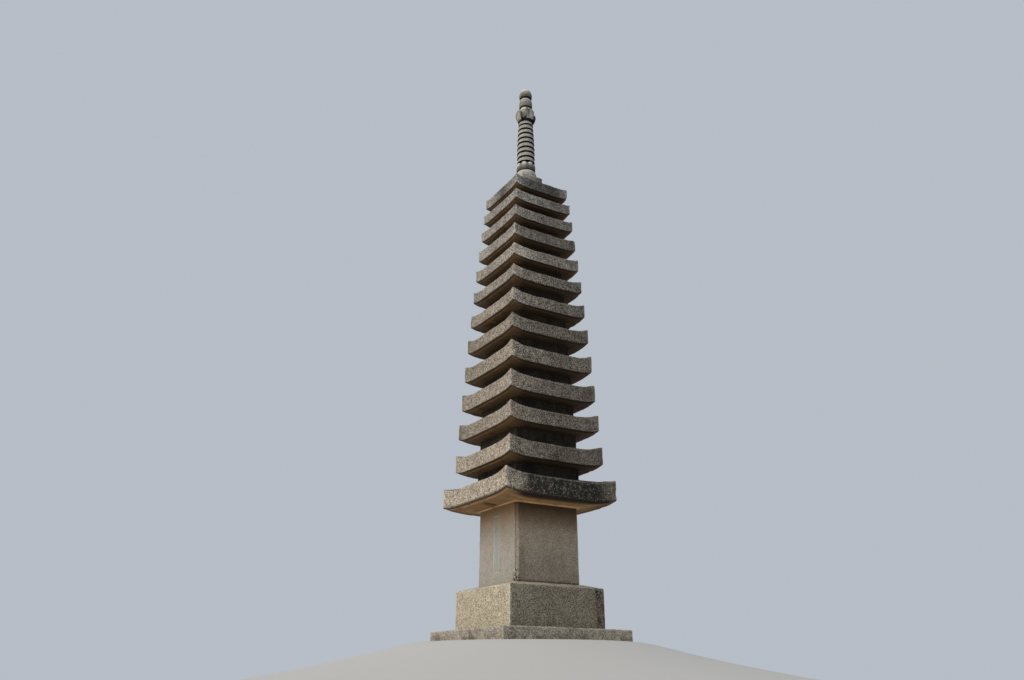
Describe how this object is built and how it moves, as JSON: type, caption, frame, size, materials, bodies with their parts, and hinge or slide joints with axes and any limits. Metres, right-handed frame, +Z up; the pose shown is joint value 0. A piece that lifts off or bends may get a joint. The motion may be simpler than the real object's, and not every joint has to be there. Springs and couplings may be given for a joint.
{
  "type": "stone pagoda",
  "caption": "Tall square granite pagoda: stacked roof stones with upturned corners on a chamfered body, plinth and step, topped by a ringed finial. Garden or temple landmark.",
  "frame": {"origin": "centre of the base step's underside", "axes": "+Z up along the tower; -Y out of the wide plain face seen at the right in the picture; -X out of the face with the bare strip"},
  "size_m": [2.75, 2.75, 12.73],
  "materials": {
    "step_stone": "rough cut granite, damp and weathered near the ground",
    "plinth_stone": "bush-hammered granite, pale cream, with a rust-brown run at one corner",
    "body_stone": "finely dressed beige-grey granite",
    "roof_stone": "bush-hammered beige-grey granite, speckled, stained with algae on the lower eaves",
    "storey_block_stone": "rough granite, sheltered and dark",
    "finial_stone": "weathered granite with lichen"
  },
  "bodies": {
    "root": {"base_step_front": "step_stone", "base_step_right": "step_stone", "base_step_back": "step_stone", "base_step_left": "step_stone", "base_step_core": "step_stone", "plinth_block": "plinth_stone", "body_block": "body_stone", "roof_01": "roof_stone", "roof_02": "roof_stone", "roof_03": "roof_stone", "roof_04": "roof_stone", "roof_05": "roof_stone", "roof_06": "roof_stone", "roof_07": "roof_stone", "roof_08": "roof_stone", "roof_09": "roof_stone", "roof_10": "roof_stone", "roof_11": "roof_stone", "roof_12": "roof_stone", "roof_13": "roof_stone", "storey_block_02": "storey_block_stone", "storey_block_03": "storey_block_stone", "storey_block_04": "storey_block_stone", "storey_block_05": "storey_block_stone", "storey_block_06": "storey_block_stone", "storey_block_07": "storey_block_stone", "storey_block_08": "storey_block_stone", "storey_block_09": "storey_block_stone", "storey_block_10": "storey_block_stone", "storey_block_11": "storey_block_stone", "storey_block_12": "storey_block_stone", "storey_block_13": "storey_block_stone", "dew_basin": "finial_stone", "inverted_bowl": "finial_stone", "lotus_collar": "finial_stone", "ring_shaft": "finial_stone", "four_fin_knob": "finial_stone", "finial_drum": "finial_stone", "finial_jewel": "finial_stone"}
  },
  "joints": []
}
